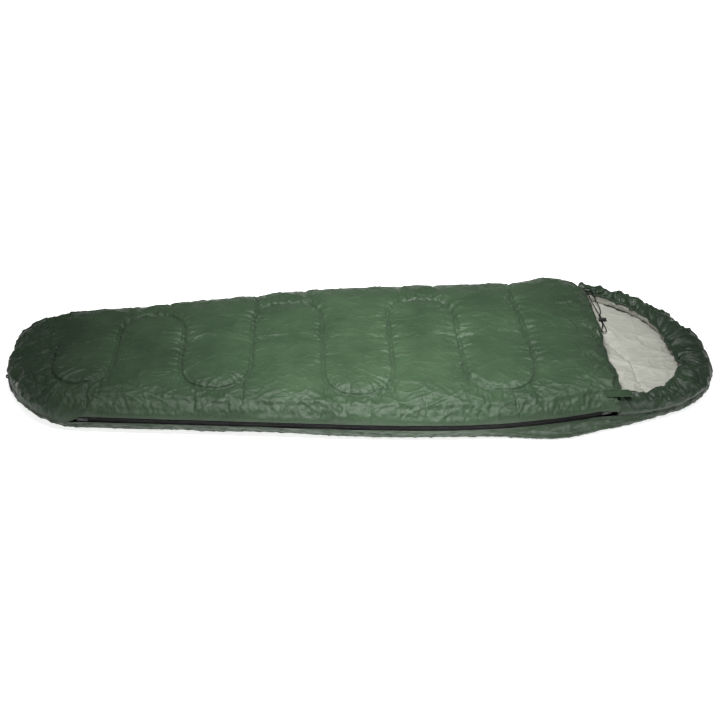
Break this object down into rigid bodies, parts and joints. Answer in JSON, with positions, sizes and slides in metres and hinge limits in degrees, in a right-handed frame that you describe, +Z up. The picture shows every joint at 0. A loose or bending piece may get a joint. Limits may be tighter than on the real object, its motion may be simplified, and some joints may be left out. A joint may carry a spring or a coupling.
{
  "type": "mummy sleeping bag",
  "caption": "Mummy sleeping bag lying flat and closed, with a padded hood, side zip, folding neck corner and hood drawcord with a lock.",
  "frame": {"origin": "on the flat underside of the bottom quilt, half-way between the ends", "axes": "+X along the bag from the foot to the hood, +Z up, the zip is on the -Y side"},
  "size_m": [2.2109, 0.7923, 0.1375],
  "materials": {
    "shell": "thin satin polyester, dark green, slightly shiny",
    "lining": "soft matt polyester, light grey",
    "filling": "loose hollow-fibre polyester batting, white",
    "zip_tape": "woven black tape",
    "zip_coil": "black nylon coil",
    "zip_metal": "die-cast metal, dark enamel",
    "cord": "black braided cord and ribbon",
    "lock_plastic": "black acetal",
    "hook_and_loop": "hook and loop tape"
  },
  "bodies": {
    "base": {"bottom_shell": "shell", "top_shell_fixed": "shell", "hood_rim_shell": "shell", "hood_channel": "shell", "collar_channel_fixed": "shell", "bottom_lining": "lining", "top_lining_fixed": "lining", "hood_rim_lining": "lining", "bottom_insulation": "filling", "top_insulation_fixed": "filling", "hood_rim_insulation": "filling", "zip_tape_lower": "zip_tape", "zip_tape_upper_fixed": "zip_tape", "zip_coil_lower": "zip_coil", "zip_coil_upper_fixed": "zip_coil", "zip_bottom_stop": "zip_metal", "zip_top_stop_lower": "zip_metal", "hood_drawcord": "cord", "collar_drawcord_fixed": "cord", "drawcord_loop": "cord", "hang_loop": "cord", "tab_loop_patch": "hook_and_loop"},
    "flap": {"top_shell_flap": "shell", "top_insulation_flap": "filling", "top_lining_flap": "lining", "zip_tape_upper_flap": "zip_tape", "zip_coil_upper_flap": "zip_coil", "zip_top_stop_upper": "zip_metal", "collar_channel_flap": "shell", "collar_drawcord_flap": "cord"},
    "slider_top": {"slider_top": "zip_metal"},
    "pull_top": {"pull_slider_top": "zip_metal"},
    "slider_bottom": {"slider_bottom": "zip_metal"},
    "pull_bottom": {"pull_slider_bottom": "zip_metal"},
    "neck_tab": {"neck_tab": "shell", "tab_hook_patch": "hook_and_loop"},
    "cord_lock": {"cord_lock_barrel": "lock_plastic", "cord_lock_spring": "zip_metal"},
    "lock_button": {"cord_lock_button": "lock_plastic"}
  },
  "joints": [
    {"name": "flap_fold", "type": "hinge", "parent": "base", "child": "flap", "pos_m": [0.20003, -0.36105, 0.1415], "axis": [-0.6769, -0.7361, 0], "range_deg": [0, 170]},
    {"name": "slider_top_travel", "type": "hinge", "parent": "base", "child": "slider_top", "pos_m": [0.27554, 1.3683, 0.052], "axis": [0, 0, -1], "range_deg": [0, 17.47]},
    {"name": "pull_top_swing", "type": "hinge", "parent": "slider_top", "child": "pull_top", "pos_m": [0.73531, -0.30457, 0.052], "axis": [0, 0, 1], "range_deg": [0, 170]},
    {"name": "slider_bottom_travel", "type": "slide", "parent": "base", "child": "slider_bottom", "axis": [0.9959, -0.0906, 0], "range_m": [0, 0.6]},
    {"name": "pull_bottom_swing", "type": "hinge", "parent": "slider_bottom", "child": "pull_bottom", "pos_m": [-0.82641, -0.27865, 0.052], "axis": [0, 0, 1], "range_deg": [0, 170]},
    {"name": "neck_tab_lift", "type": "hinge", "parent": "flap", "child": "neck_tab", "pos_m": [0.722, -0.279, 0.10417], "axis": [0, -1, 0], "range_deg": [0, 150]},
    {"name": "cord_lock_slide", "type": "slide", "parent": "base", "child": "cord_lock", "axis": [0, 1, 0], "range_m": [-0.018, 0.018]},
    {"name": "lock_button_press", "type": "slide", "parent": "cord_lock", "child": "lock_button", "axis": [-1, 0, 0], "range_m": [0, 0.002], "stiffness_N_per_m": 300, "springref_m": -0.003, "deforming": ["cord_lock_spring"]}
  ],
  "couplings": [
    {"joint": "slider_top_travel", "follows": "flap_fold", "ratio": 0.1027}
  ]
}
